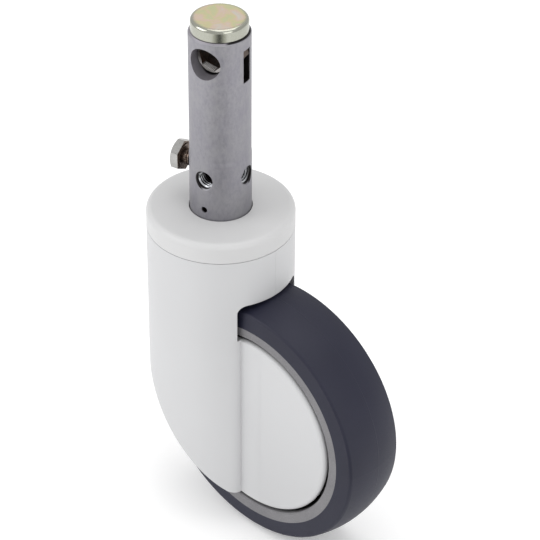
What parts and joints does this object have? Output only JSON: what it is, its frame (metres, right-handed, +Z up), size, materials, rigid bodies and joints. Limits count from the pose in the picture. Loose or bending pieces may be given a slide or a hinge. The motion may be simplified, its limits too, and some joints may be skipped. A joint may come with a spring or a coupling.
{
  "type": "central-locking castor",
  "caption": "Stem castor with one hooded wheel; a hexagonal bar through the stem's cam locks its wheel and swivel.",
  "frame": {"origin": "on the swivel axis, at the plane where the stem leaves the top of the cover", "axes": "+Z up along the stem, +X from the swivel axis towards the trailing wheel, Y along the wheel's axle"},
  "size_m": [0.1306, 0.0672, 0.2557],
  "materials": {
    "stem_steel": "grey zinc plating, matt",
    "plug_zinc": "yellowish zinc plating, satin",
    "bolt_steel": "zinc plating, satin",
    "cam_steel": "machined",
    "spring_steel": "spring steel",
    "bearing_steel": "ground",
    "fork_metal": "die cast",
    "housing_plastic": "fine texture",
    "cover_plastic": "fine texture",
    "seal_rubber": "matt",
    "screw_steel": "zinc plating",
    "rim_plastic": "speckled",
    "tyre_rubber": "smooth, matt"
  },
  "bodies": {
    "stem": {"stem_tube": "stem_steel", "end_plug": "plug_zinc", "fixing_bolt": "bolt_steel", "rod_guide_pin": "stem_steel", "stem_circlip": "spring_steel", "spring_seat": "spring_steel", "spring_seat_circlip": "spring_steel", "rod_return_spring": "spring_steel", "upper_bearing_inner_race": "bearing_steel", "lower_bearing_inner_race": "bearing_steel", "inner_race_spacer": "bearing_steel"},
    "cam": {"lock_cam": "cam_steel", "hex_sleeve": "cam_steel", "sleeve_clip": "spring_steel"},
    "rod": {"push_rod": "cam_steel", "lock_disc": "cam_steel", "rod_nut": "cam_steel"},
    "swivel_balls": {"upper_bearing_balls": "bearing_steel", "upper_bearing_cage": "bearing_steel", "lower_bearing_balls": "bearing_steel", "lower_bearing_cage": "bearing_steel"},
    "swivel": {"fork_frame": "fork_metal", "right_housing": "housing_plastic", "left_housing": "housing_plastic", "top_cover": "cover_plastic", "head_circlip": "spring_steel", "bearing_seal": "seal_rubber", "lock_ring": "cam_steel", "housing_screws": "screw_steel", "upper_bearing_outer_race": "bearing_steel", "lower_bearing_outer_race": "bearing_steel", "outer_race_spacer": "bearing_steel", "lever_pin": "screw_steel", "lever_spring": "spring_steel", "axle": "screw_steel", "axle_clips": "spring_steel", "axle_washers": "spring_steel", "wheel_bearing_spacer": "bearing_steel", "right_wheel_bearing_inner_race": "bearing_steel", "left_wheel_bearing_inner_race": "bearing_steel"},
    "brake": {"brake_lever": "fork_metal", "brake_shoe": "seal_rubber"},
    "wheel_balls": {"right_wheel_bearing_balls": "bearing_steel", "right_wheel_bearing_cage": "bearing_steel", "left_wheel_bearing_balls": "bearing_steel", "left_wheel_bearing_cage": "bearing_steel"},
    "wheel": {"tyre": "tyre_rubber", "wheel_rim": "rim_plastic", "right_wheel_bearing_outer_race": "bearing_steel", "left_wheel_bearing_outer_race": "bearing_steel"}
  },
  "joints": [
    {"name": "cam_turn", "type": "hinge", "parent": "stem", "child": "cam", "pos_m": [0, 0, 0.07875], "axis": [-0.2079, 0.9781, 0], "range_deg": [0, 60]},
    {"name": "rod_slide", "type": "slide", "parent": "stem", "child": "rod", "axis": [0, 0, -1], "range_m": [0, 0.0022], "deforming": ["rod_return_spring"]},
    {"name": "lever_press", "type": "hinge", "parent": "swivel", "child": "brake", "pos_m": [-0.021, 0, -0.0365], "axis": [0, 1, 0], "range_deg": [0, 6]},
    {"name": "swivel_turn", "type": "hinge", "parent": "stem", "child": "swivel", "pos_m": [0, 0, 0], "axis": [0, 0, 1], "continuous": true},
    {"name": "swivel_balls_turn", "type": "hinge", "parent": "stem", "child": "swivel_balls", "pos_m": [0, 0, 0], "axis": [0, 0, 1], "continuous": true},
    {"name": "wheel_spin", "type": "hinge", "parent": "swivel", "child": "wheel", "pos_m": [0.0345, 0, -0.0975], "axis": [0, 1, 0], "continuous": true},
    {"name": "wheel_balls_turn", "type": "hinge", "parent": "swivel", "child": "wheel_balls", "pos_m": [0.0345, 0, -0.0975], "axis": [0, 1, 0], "continuous": true}
  ],
  "couplings": [
    {"joint": "cam_turn", "follows": "rod_slide", "rad_per_m": 476},
    {"joint": "lever_press", "follows": "rod_slide", "rad_per_m": 47.6},
    {"joint": "swivel_balls_turn", "follows": "swivel_turn", "ratio": 0.5657},
    {"joint": "wheel_balls_turn", "follows": "wheel_spin", "ratio": 0.619}
  ]
}
